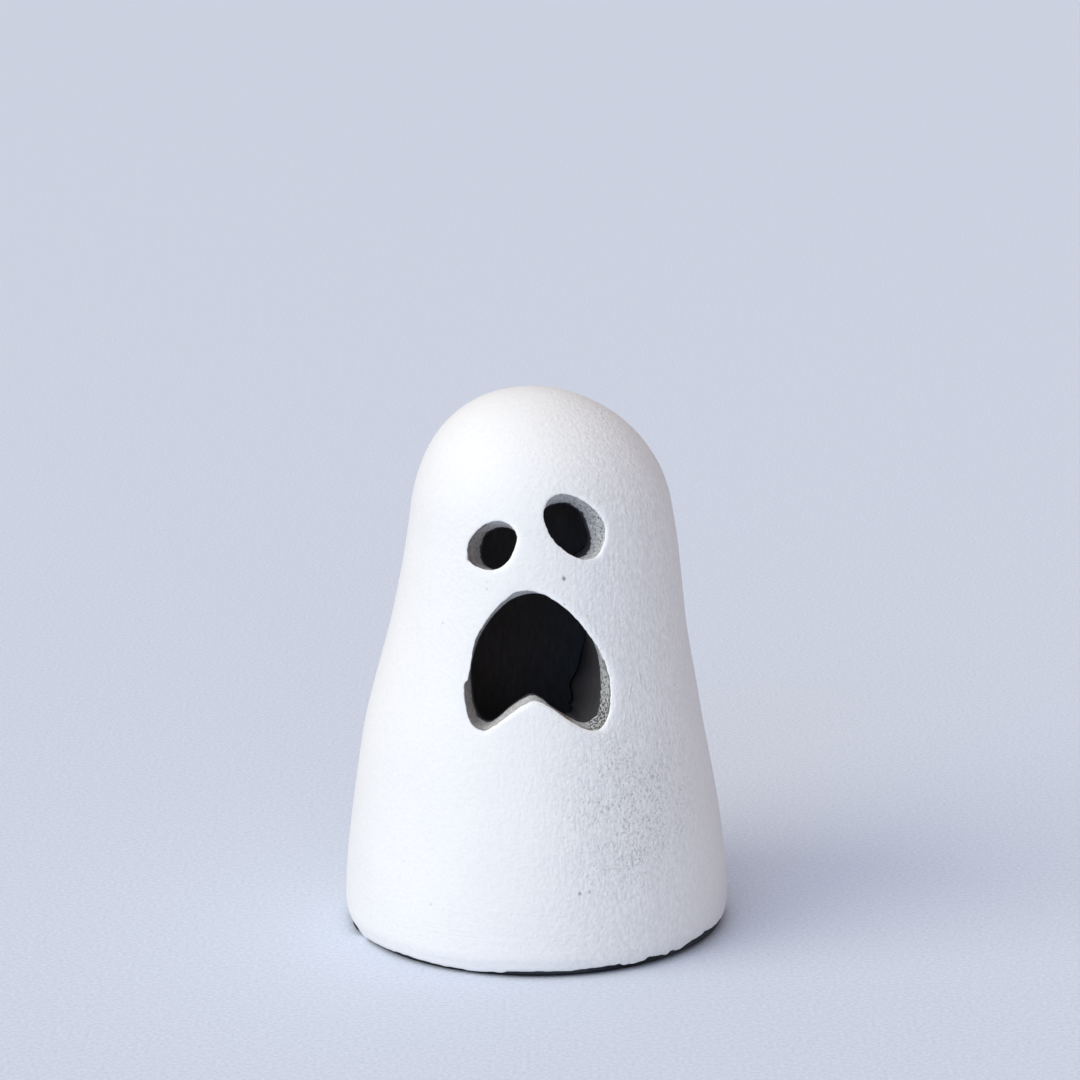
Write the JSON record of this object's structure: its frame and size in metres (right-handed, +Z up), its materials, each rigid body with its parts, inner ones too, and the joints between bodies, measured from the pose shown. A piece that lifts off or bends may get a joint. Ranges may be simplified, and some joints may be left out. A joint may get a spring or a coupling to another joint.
{
  "type": "ghost figure",
  "caption": "Hollow bell-shaped ghost figure with eyes and an open mouth cut through its wall, painted white outside and black inside, on a thin felt ring.",
  "frame": {"origin": "middle of the foot, on the surface that the figure stands on", "axes": "+Z up through the crown of the head, the face looks along -Y, +X to the viewer's right"},
  "size_m": [0.0736, 0.0736, 0.105],
  "materials": {
    "raw_casting": "raw grey cast surface with sand grains and dark pores",
    "white_paint": "thick brushed matt white paint with strokes, pits and rounded lips",
    "black_paint": "satin black paint",
    "felt": "black felt"
  },
  "bodies": {
    "root": {"cast_shell": "raw_casting", "white_coat": "white_paint", "black_lining": "black_paint", "base_pad": "felt"}
  },
  "joints": []
}
